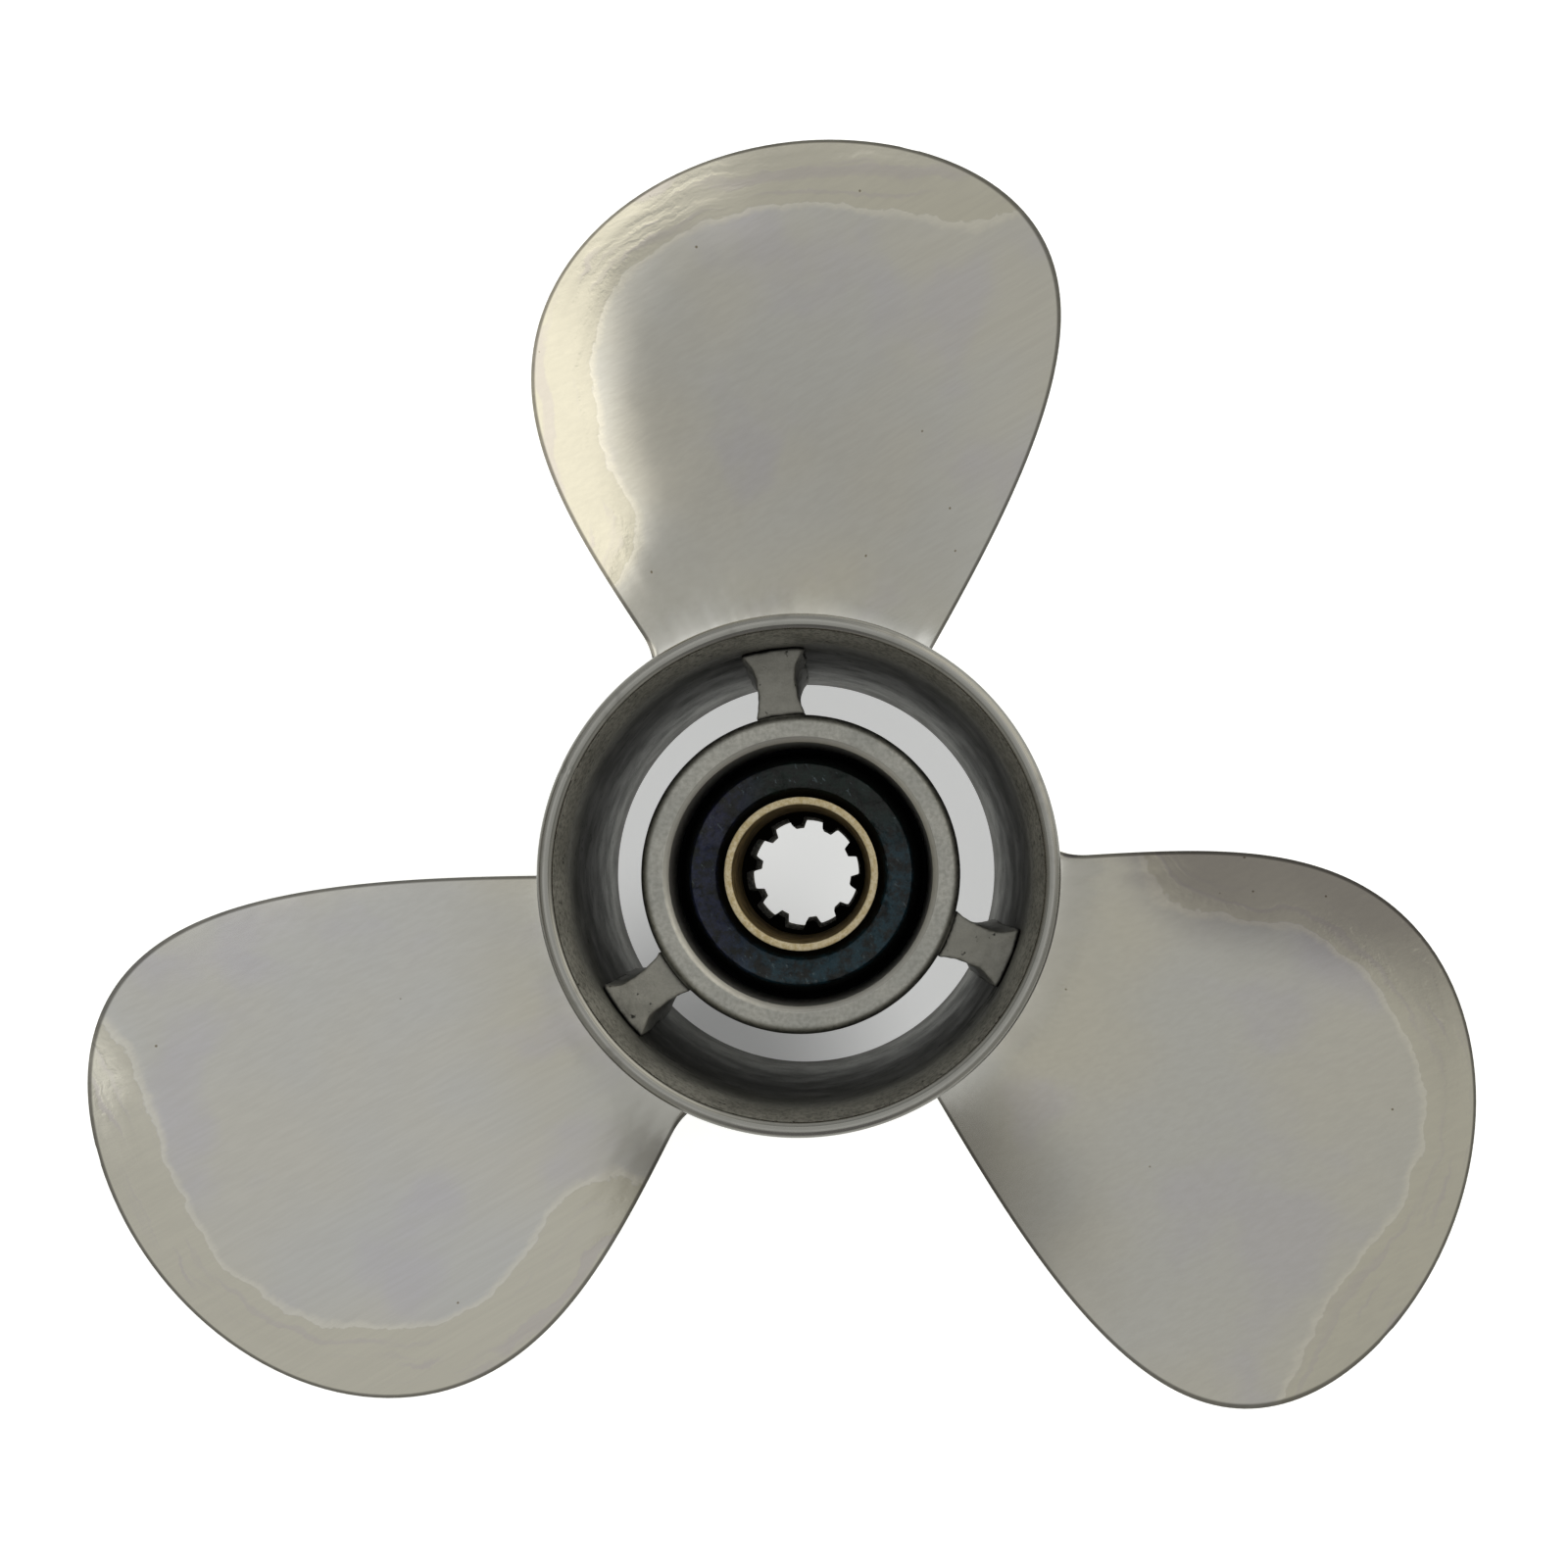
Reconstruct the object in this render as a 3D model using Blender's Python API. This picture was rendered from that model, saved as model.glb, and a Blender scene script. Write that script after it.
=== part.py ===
"""Three-blade boat propeller with a through-hub exhaust and a cushioned, splined hub.

Metres, +Z aft (towards the exhaust end). The origin is on the shaft axis, in the plane of
the barrel's front face, so the propeller stands on that face. A wheel of cast stainless
(barrel, diffuser ring, blades, ribs, inner hub) turns on a rubber bush, and the bush turns
on the splined sleeve that the shaft drives.
"""

import math

import bmesh
import bpy

MM = 0.001
BLADES = 3
GAP = 0.3 * MM  # between faces of neighbouring pieces

# Barrel and its flared rear lip
LENGTH = 100.0 * MM
BARREL_R = 40.0 * MM
BORE_R_FRONT = 35.8 * MM
BORE_R_REAR = 37.2 * MM  # the casting's draft opens the bore towards the rear
BORE_DRAFT_LENGTH = 84.0 * MM
DIFFUSER_START = 88.0 * MM
DIFFUSER_R = 41.3 * MM
BEAD_R = 1.35 * MM

# Inner hub, bush and sleeve
HUB_R = 26.0 * MM
HUB_BORE_R = 21.5 * MM
HUB_Z = (8.0 * MM, 84.0 * MM)
HUB_CHAMFER = 0.9 * MM
HUB_ROUND = 1.5 * MM  # the rear face's outer edge
BUSH_Z = (12.0 * MM, 68.0 * MM)  # its outer edges; the middle of each end is domed
BUSH_CREST = 8.0 * MM
SLEEVE_R = 12.6 * MM
SLEEVE_Z = (4.0 * MM, 82.0 * MM)
COUNTERBORE_R = 11.3 * MM
COUNTERBORE_FLOOR_R = 10.7 * MM
COUNTERBORE_DEPTH = 35.0 * MM
SPLINE_TEETH = 10
SPLINE_TIP_R = 8.4 * MM
SPLINE_ROOT_R = 9.9 * MM
SPLINE_PHASE = math.radians(26.0)  # a tooth's middle

# Ribs
RIB_ANGLE = math.radians(97.5)
RIB_Z = (14.0 * MM, 82.0 * MM)
RIB_HALF = 3.2 * MM
RIB_HALF_AT_HUB = 4.1 * MM
RIB_HALF_AT_WALL = 5.4 * MM

# Blades
TIP_R = 125.4 * MM  # half of 9 7/8 in
PITCH = 304.8 * MM  # 12 in of travel in one turn
RAKE = math.radians(15.0)
BLADE_Z = 54.0 * MM  # height of the aft face at the root's middle
CHORD_CENTRE = math.radians(92.0)
CHORD_HALF = math.radians(31.6)
OUTLINE_FULLNESS = 3.07
TIP_SKEW = math.radians(10.4)  # the tip trails this far towards the leading edge
SKEW_POWER = 3.7
ROOT_THICK = 6.0 * MM
TIP_THICK = 2.6 * MM
EDGE_SHARE = 0.45  # the plate's thickness beside an edge, as a share of that in its middle
NOSE = 1.3 * MM  # how far in from the edge the rounding reaches
TIP_FALL = 2.0 * MM  # how far the hand-ground tip falls away from the screw surface
TIP_FALL_WIDTH = 22.0 * MM
FILLET = 7.0 * MM  # reach of the root's fillet along the blade
FILLET_SWELL = 4.0 * MM  # how much it adds to each face, and to each edge, at the barrel

BARREL_STEPS = 72
BUSH_STEPS = 60
SLEEVE_STEPS = 80


def clear_scene():
    for obj in list(bpy.data.objects):
        bpy.data.objects.remove(obj, do_unlink=True)


def material(name, colour, metallic, roughness):
    made = bpy.data.materials.new(name)
    made.use_nodes = True
    shader = made.node_tree.nodes["Principled BSDF"]
    shader.inputs["Base Color"].default_value = (*colour, 1.0)
    shader.inputs["Metallic"].default_value = metallic
    shader.inputs["Roughness"].default_value = roughness
    return made


def add_object(name, mesh, finish, parent=None):
    obj = bpy.data.objects.new(name, mesh)
    bpy.context.scene.collection.objects.link(obj)
    obj.parent = parent
    if not mesh.materials:
        mesh.materials.append(finish)
    return obj


def add_pivot(name, parent=None):
    """An empty on the shaft axis that a moving body's pieces hang from."""
    pivot = bpy.data.objects.new(name, None)
    bpy.context.scene.collection.objects.link(pivot)
    pivot.parent = parent
    return pivot


def mesh_from(bm, name):
    bmesh.ops.recalc_face_normals(bm, faces=bm.faces)
    mesh = bpy.data.meshes.new(name)
    bm.to_mesh(mesh)
    bm.free()
    mesh.shade_smooth()
    mesh.set_sharp_from_angle(angle=math.radians(35))
    return mesh


def arc(centre, radius, start, end, steps):
    """Points of an arc in the (radius, height) plane, angles in degrees."""
    turns = [math.radians(start + (end - start) * i / steps) for i in range(steps + 1)]
    return [(centre[0] + radius * math.cos(a), centre[1] + radius * math.sin(a)) for a in turns]


def turned(name, profile, steps):
    """A ring: the closed profile of (radius, height) points, spun about the shaft axis."""
    bm = bmesh.new()
    verts = [bm.verts.new((r, 0.0, z)) for r, z in profile]
    edges = [bm.edges.new((verts[i - 1], verts[i])) for i in range(len(verts))]
    bmesh.ops.spin(
        bm,
        geom=verts + edges,
        cent=(0.0, 0.0, 0.0),
        axis=(0.0, 0.0, 1.0),
        angle=2 * math.pi,
        steps=steps,
        use_merge=True,
    )
    bmesh.ops.remove_doubles(bm, verts=bm.verts, dist=1e-7)
    return mesh_from(bm, name)


def bore_radius(z):
    """The barrel's inside radius, which grows evenly with the casting's draft."""
    return BORE_R_FRONT + (BORE_R_REAR - BORE_R_FRONT) * z / BORE_DRAFT_LENGTH


def barrel_profile():
    top = DIFFUSER_START - GAP / 2
    front_round = arc((BARREL_R - 1.2 * MM, 1.2 * MM), 1.2 * MM, 0, -90, 4)
    return [(BARREL_R, top), *front_round, (bore_radius(0), 0.0), (bore_radius(top), top)]


def diffuser_profile():
    """The lip flares out to a rounded bead, whose top is the propeller's rear end."""
    foot = DIFFUSER_START + GAP / 2
    bead = (DIFFUSER_R - BEAD_R, LENGTH - BEAD_R)
    flare = (LENGTH - BEAD_R - foot) / 2
    step_out = (DIFFUSER_R - BARREL_R) / 4
    return [
        (BARREL_R, foot),
        (BARREL_R + step_out, foot + flare),
        *arc(bead, BEAD_R, 0, 180, 6),
        (bore_radius(foot) + step_out, foot + flare),
        (bore_radius(foot), foot),
    ]


def hub_profile():
    low, high = HUB_Z
    return [
        (HUB_R, low + HUB_CHAMFER),
        (HUB_R - HUB_CHAMFER, low),
        (HUB_BORE_R, low),
        (HUB_BORE_R, high - HUB_CHAMFER),
        (HUB_BORE_R + HUB_CHAMFER, high),
        *arc((HUB_R - HUB_ROUND, high - HUB_ROUND), HUB_ROUND, 90, 0, 3),
    ]


def bush_profile():
    """Straight against hub and sleeve, with a dome between a deep outer ring and the sleeve."""
    low, high = BUSH_Z
    outer = HUB_BORE_R - GAP
    inner = SLEEVE_R + GAP
    land = outer - 1.6 * MM
    width = land - inner
    dome = [(0.12, 0.45), (0.35, 0.93), (0.55, 1.0), (0.8, 0.92), (1.0, 0.75)]
    rear = [(land - width * across, high + BUSH_CREST * up) for across, up in dome]
    front = [(land - width * across, low - BUSH_CREST * up / 2) for across, up in reversed(dome)]
    return [(outer, high), (outer, low), (land, low), *reversed(front), *reversed(rear), (land, high)]


def sleeve_profile():
    low, high = SLEEVE_Z
    floor = high - COUNTERBORE_DEPTH
    edge = 0.3 * MM
    return [
        (SLEEVE_R, high),
        (SLEEVE_R, low),
        (SPLINE_ROOT_R + edge, low),
        (SPLINE_TIP_R, low + SPLINE_ROOT_R + edge - SPLINE_TIP_R),
        (SPLINE_TIP_R, floor),
        (COUNTERBORE_FLOOR_R, floor),
        (COUNTERBORE_R, high - edge),
        (COUNTERBORE_R + edge, high),
    ]


def spline_cutter():
    """A ten-pointed prism: each point cuts the space between two teeth."""
    pitch = 2 * math.pi / SPLINE_TEETH
    inside = SPLINE_TIP_R - 0.4 * MM
    flank = [(-0.35, inside), (-0.255, SPLINE_ROOT_R)]
    slot = [*flank, (0.0, SPLINE_ROOT_R), *[(-share, radius) for share, radius in reversed(flank)]]
    low = SLEEVE_Z[0] - 2 * MM
    high = SLEEVE_Z[1] - COUNTERBORE_DEPTH + 2 * MM
    bm = bmesh.new()
    ring = []
    for tooth in range(SPLINE_TEETH):
        middle = SPLINE_PHASE + (tooth + 0.5) * pitch
        for share, radius in slot:
            turn = middle + share * pitch
            ring.append(bm.verts.new((radius * math.cos(turn), radius * math.sin(turn), low)))
    base = bm.faces.new(ring)
    lifted = bmesh.ops.extrude_face_region(bm, geom=[base])
    top = [item for item in lifted["geom"] if isinstance(item, bmesh.types.BMVert)]
    bmesh.ops.translate(bm, verts=top, vec=(0.0, 0.0, high - low))
    cutter = bpy.data.objects.new("spline_cutter", mesh_from(bm, "spline_cutter"))
    bpy.context.scene.collection.objects.link(cutter)
    cutter.hide_render = True
    cutter.display_type = "WIRE"
    return cutter


def rib_half_width(share):
    """Half the rib's thickness at this share of the way from hub to wall: a fishtail at each end."""
    at_hub = max(0.0, 1 - share / 0.35) ** 2
    at_wall = max(0.0, (share - 0.55) / 0.45) ** 2
    return RIB_HALF + (RIB_HALF_AT_HUB - RIB_HALF) * at_hub + (RIB_HALF_AT_WALL - RIB_HALF) * at_wall


def rib_outline(z):
    """The rib's section at height z, anticlockwise, with ends that follow hub and wall."""
    inner = HUB_R + GAP
    outer = bore_radius(z) - GAP
    steps = 6
    side = []
    for i in range(steps + 1):
        share = i / steps
        radius = inner + (outer - inner) * share
        side.append((radius, math.asin(rib_half_width(share) / radius)))
    across = [-0.5, 0.0, 0.5]
    lower = [(radius, -turn) for radius, turn in side]
    wall = [(outer, share * side[-1][1]) for share in across]
    upper = list(reversed(side))
    hub = [(inner, -share * side[0][1]) for share in across]
    return [(r * math.cos(a), r * math.sin(a), z) for r, a in [*lower, *wall, *upper, *hub]]


def rib_mesh():
    bm = bmesh.new()
    loops = [[bm.verts.new(point) for point in rib_outline(z)] for z in RIB_Z]
    bm.faces.new(list(reversed(loops[0])))
    bm.faces.new(loops[1])
    count = len(loops[0])
    for i in range(count):
        bm.faces.new((loops[0][i - 1], loops[0][i], loops[1][i], loops[1][i - 1]))
    return mesh_from(bm, "rib")


def span_share(radius):
    """0 at the barrel, 1 at the tip."""
    return min(1.0, max(0.0, (radius - BARREL_R) / (TIP_R - BARREL_R)))


def chord_centre(radius):
    return CHORD_CENTRE - TIP_SKEW * span_share(radius) ** SKEW_POWER


def root_fillet(radius):
    """0 where the fillet starts, rising on a quarter ellipse to 1 at the barrel."""
    root = 1 - min(1.0, max(0.0, (radius - BARREL_R) / FILLET))
    return 1 - math.sqrt(1 - root**2)


def full_half_angle(radius):
    """Half of the chord's angle before the outline rounds in to the tip."""
    return CHORD_HALF + FILLET_SWELL * root_fillet(radius) / radius


def chord_half(radius):
    return full_half_angle(radius) * math.sqrt(1 - span_share(radius) ** OUTLINE_FULLNESS)


def near_outline(radius, across, share):
    """Roughly how far a point is from the blade's outline, and 1 if that faces the tip, 0 a side."""
    inside = 1 - across**2 - share**OUTLINE_FULLNESS
    slope_around = 2 * across / (CHORD_HALF * radius)
    slope_out = OUTLINE_FULLNESS * share ** (OUTLINE_FULLNESS - 1) / (TIP_R - BARREL_R)
    slope = max(1.0, math.hypot(slope_around, slope_out))
    return max(0.0, inside) / slope, (slope_out / slope) ** 2


def smooth(low, high, value):
    x = min(1.0, max(0.0, (value - low) / (high - low)))
    return x * x * (3 - 2 * x)


def blade_heights(radius, angle):
    """Heights of the aft (pressure) and fore faces of the blade at this radius and angle."""
    share = span_share(radius)
    across = (angle - chord_centre(radius)) / full_half_angle(radius)
    edge, tip_facing = near_outline(radius, across, share)
    helix = PITCH * (angle - CHORD_CENTRE) / (2 * math.pi)
    aft = BLADE_Z + math.tan(RAKE) * (radius - BARREL_R) + helix
    trailing = smooth(-0.55, 0.15, across)
    fall = max(0.0, 1 - edge / TIP_FALL_WIDTH)
    aft -= TIP_FALL * trailing * tip_facing * (fall + fall**2) / 2
    steepness = math.hypot(1.0, PITCH / (2 * math.pi * radius))
    middle = ROOT_THICK + (TIP_THICK - ROOT_THICK) * share
    crown = EDGE_SHARE + (1 - EDGE_SHARE) * max(0.0, 1 - across**2)
    nose = math.sqrt(1 - (1 - min(1.0, edge / NOSE)) ** 2)
    thick = middle * crown * nose * steepness
    swell = FILLET_SWELL * root_fillet(radius) * nose
    return aft + swell, aft - thick - swell


def blade_mesh():
    """Aft and fore faces on one grid of radii and chord shares, joined along their shared rim."""
    spans = [0.085, 0.14, 0.24, 0.36, 0.48, 0.59, 0.69, 0.78, 0.86, 0.92, 0.96, 0.985, 0.9985]
    radii = [BARREL_R + GAP, BARREL_R + FILLET * 0.25, BARREL_R + FILLET * 0.55]
    radii += [BARREL_R + share * (TIP_R - BARREL_R) for share in spans]
    chords = [-1.0, -0.985, -0.93, -0.8, -0.6, -0.3, 0.0, 0.3, 0.55, 0.75, 0.88, 0.96, 0.99, 1.0]
    bm = bmesh.new()
    aft, fore = [], []
    for row, radius in enumerate(radii):
        aft.append([])
        fore.append([])
        for column, chord in enumerate(chords):
            angle = chord_centre(radius) + chord * chord_half(radius)
            high, low = blade_heights(radius, angle)
            place = (radius * math.cos(angle), radius * math.sin(angle))
            on_rim = row == len(radii) - 1 or column in (0, len(chords) - 1)
            if on_rim:
                low = high = (high + low) / 2
            aft[-1].append(bm.verts.new((*place, high)))
            fore[-1].append(aft[-1][-1] if on_rim else bm.verts.new((*place, low)))
    for i in range(len(radii) - 1):
        for j in range(len(chords) - 1):
            bm.faces.new((aft[i][j], aft[i + 1][j], aft[i + 1][j + 1], aft[i][j + 1]))
            bm.faces.new((fore[i][j + 1], fore[i + 1][j + 1], fore[i + 1][j], fore[i][j]))
    for j in range(len(chords) - 1):
        root = [aft[0][j], aft[0][j + 1], fore[0][j + 1], fore[0][j]]
        bm.faces.new(list(dict.fromkeys(root)))
    bmesh.ops.triangulate(bm, faces=bm.faces, quad_method="SHORT_EDGE")
    return mesh_from(bm, "blade")


def build():
    clear_scene()
    polished = material("polished_stainless", (0.42, 0.41, 0.37), 1.0, 0.22)
    satin = material("cast_stainless", (0.23, 0.23, 0.21), 1.0, 0.5)
    rough_cast = material("rough_cast_stainless", (0.10, 0.10, 0.095), 1.0, 0.65)
    rubber = material("black_rubber", (0.012, 0.014, 0.018), 0.0, 0.6)
    bronze = material("bronze", (0.48, 0.34, 0.16), 1.0, 0.4)

    sleeve = add_object("splined_sleeve", turned("sleeve", sleeve_profile(), SLEEVE_STEPS), bronze)
    slots = sleeve.modifiers.new("spline_slots", "BOOLEAN")
    slots.operation = "DIFFERENCE"
    slots.solver = "EXACT"
    slots.object = spline_cutter()

    bush_pivot = add_pivot("bush_pivot")
    wheel_pivot = add_pivot("wheel_pivot", bush_pivot)
    add_object("rubber_bush", turned("bush", bush_profile(), BUSH_STEPS), rubber, bush_pivot)
    add_object("inner_hub", turned("hub", hub_profile(), BARREL_STEPS), satin, wheel_pivot)
    add_object("outer_barrel", turned("barrel", barrel_profile(), BARREL_STEPS), satin, wheel_pivot)
    diffuser = turned("diffuser", diffuser_profile(), BARREL_STEPS)
    add_object("diffuser_ring", diffuser, satin, wheel_pivot)
    rib, blade = rib_mesh(), blade_mesh()
    for copy in range(BLADES):
        turn = 2 * math.pi * copy / BLADES
        placed_rib = add_object(f"rib_{copy + 1}", rib, rough_cast, wheel_pivot)
        placed_rib.rotation_euler.z = RIB_ANGLE + turn
        placed_blade = add_object(f"blade_{copy + 1}", blade, polished, wheel_pivot)
        placed_blade.rotation_euler.z = turn


build()
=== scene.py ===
"""Looks of a three-blade boat propeller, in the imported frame: metres, +Z aft, origin on the shaft axis.

Sections follow the propeller as it is put together: outer barrel, diffuser ring, blades, ribs,
inner hub, rubber bush, splined sleeve. The floor, the lights and the camera come last.
"""

import math

import bmesh
import bpy
from mathutils import Matrix, Vector, noise


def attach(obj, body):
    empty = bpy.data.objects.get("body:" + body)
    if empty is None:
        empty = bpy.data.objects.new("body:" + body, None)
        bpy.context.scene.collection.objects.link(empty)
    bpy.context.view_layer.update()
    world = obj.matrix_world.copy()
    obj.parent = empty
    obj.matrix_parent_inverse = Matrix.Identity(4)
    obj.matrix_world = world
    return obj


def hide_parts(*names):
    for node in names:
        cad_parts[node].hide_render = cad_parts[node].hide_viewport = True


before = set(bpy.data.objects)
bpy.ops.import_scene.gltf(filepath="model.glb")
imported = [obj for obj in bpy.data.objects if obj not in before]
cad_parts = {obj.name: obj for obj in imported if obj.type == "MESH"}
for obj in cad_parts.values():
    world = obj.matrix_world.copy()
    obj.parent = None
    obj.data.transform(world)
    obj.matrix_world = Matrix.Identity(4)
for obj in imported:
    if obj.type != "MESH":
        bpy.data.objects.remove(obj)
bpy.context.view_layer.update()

# ---------------------------------------------------------------------------------------------
# Outer barrel. The wheel's body: a drafted tube of investment-cast stainless steel. Exhaust gas
# leaves through it. Its outside is belt-polished after casting, and its bore stays as cast,
# with a dull grey skin, soot, and painted light and shade along it and in the lee of the ribs.

MM = 0.001
BARREL_R = 40.0
BORE_FRONT_R = 35.8
BORE_DRAFT = 1.4 / 84.0  # growth of the bore's radius per mm towards the rear
BARREL_END = 88.0  # where the diffuser ring takes over
FRONT_ROUND = 1.2
BORE_EDGE = 0.4
MID_WALL_R = 38.0  # nearer the shaft is bore, further out is the polished outside
ROUND_STEPS = 240
SOOT_AND_SHADE_CORNERS = (105, 231, 326)  # bearings in degrees, one in the lee of each rib
SOOT_AND_SHADE_R = 37
SOOT_AND_SHADE_Z = 79


def linear(code):
    """An sRGB hex colour as linear RGBA."""
    parts = [int(code[i : i + 2], 16) / 255 for i in (1, 3, 5)]
    return (*[c / 12.92 if c <= 0.04045 else ((c + 0.055) / 1.055) ** 2.4 for c in parts], 1.0)


def node(tree, kind, inputs=None, **settings):
    """Adds a shader node. Settings are its properties; inputs holds constants and sockets to link."""
    made = tree.nodes.new("ShaderNode" + kind)
    for key, value in settings.items():
        setattr(made, key, value)
    for key, value in (inputs or {}).items():
        if isinstance(value, bpy.types.NodeSocket):
            tree.links.new(value, made.inputs[key])
        else:
            made.inputs[key].default_value = value
    return made


def finish_named(name):
    """A new material for one finish, with its node tree and its Principled shader."""
    made = bpy.data.materials.new(name)
    made.use_nodes = True
    return made, made.node_tree, made.node_tree.nodes["Principled BSDF"]


def per(size_mm):
    """The texture scale whose features are about this many millimetres across."""
    return 1.0 / (size_mm * MM)


def mix_colour(tree, share, first, second, blend="MIX"):
    inputs = {0: share, 6: first, 7: second}
    return node(tree, "Mix", inputs, data_type="RGBA", blend_type=blend).outputs[2]


def ramp(tree, value, low, high, to_low=0.0, to_high=1.0):
    """Maps low..high to to_low..to_high on a smooth step, held flat outside."""
    inputs = {"Value": value, "From Min": low, "From Max": high, "To Min": to_low, "To Max": to_high}
    return node(tree, "MapRange", inputs, interpolation_type="SMOOTHSTEP").outputs[0]


def cloud(tree, place, size_mm, detail=3.0, roughness=0.5):
    """Fractal noise, 0 to 1, with features of this size."""
    inputs = {"Vector": place, "Scale": per(size_mm), "Detail": detail, "Roughness": roughness}
    return node(tree, "TexNoise", inputs).outputs["Fac"]


def shaft_place(tree):
    """The point in the part's frame, its height along the shaft, and its distance from the axis."""
    place = node(tree, "TexCoord").outputs["Object"]
    parts = node(tree, "SeparateXYZ", {0: place}).outputs
    flat = node(tree, "CombineXYZ", {0: parts[0], 1: parts[1]}).outputs[0]
    radius = node(tree, "VectorMath", {0: flat}, operation="LENGTH").outputs["Value"]
    return place, parts[2], radius


def arc(centre, radius, start, end, steps):
    """Points of an arc in the (radius, height) plane, angles in degrees."""
    turns = [math.radians(start + (end - start) * i / steps) for i in range(steps + 1)]
    return [(centre[0] + radius * math.cos(a), centre[1] + radius * math.sin(a)) for a in turns]


def along(start, end, steps):
    """Points from start up to, and without, end."""
    return [tuple(a + (b - a) * i / steps for a, b in zip(start, end)) for i in range(steps)]


def mesh_of(bm, name):
    bmesh.ops.recalc_face_normals(bm, faces=bm.faces)
    mesh = bpy.data.meshes.new(name)
    bm.to_mesh(mesh)
    bm.free()
    mesh.shade_smooth()
    mesh.set_sharp_from_angle(angle=math.radians(40))
    return mesh


def turned(name, profile, steps=ROUND_STEPS):
    """A ring spun about the shaft axis from a closed profile of (radius, height) points in mm."""
    bm = bmesh.new()
    verts = [bm.verts.new((r * MM, 0.0, z * MM)) for r, z in profile]
    edges = [bm.edges.new((verts[i - 1], verts[i])) for i in range(len(verts))]
    full_turn = {"axis": (0, 0, 1), "angle": 2 * math.pi, "steps": steps, "use_merge": True}
    bmesh.ops.spin(bm, geom=verts + edges, cent=(0, 0, 0), **full_turn)
    bmesh.ops.remove_doubles(bm, verts=bm.verts, dist=1e-7)
    return mesh_of(bm, name)


def roughen(mesh, size_mm, depth_mm, keep=None):
    """Moves the surface in and out along its normals. keep says, point by point, how much of it."""
    normals = [vert.normal.copy() for vert in mesh.vertices]
    for vert, normal in zip(mesh.vertices, normals):
        share = 1.0 if keep is None else keep(vert.co)
        if share:
            height = noise.fractal(vert.co * per(size_mm), 1.0, 2.0, 3)
            vert.co += normal * (height * share * depth_mm * MM)
    mesh.update()


def fit_piece(name, mesh, finishes, body, nodes):
    """Puts a piece in the scene: it rides its body and stands for its CAD nodes."""
    piece = bpy.data.objects.new(name, mesh)
    bpy.context.scene.collection.objects.link(piece)
    for finish in finishes:
        mesh.materials.append(finish)
    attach(piece, body)
    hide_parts(*nodes)
    return piece


def bore_radius(z):
    return BORE_FRONT_R + BORE_DRAFT * z


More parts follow.
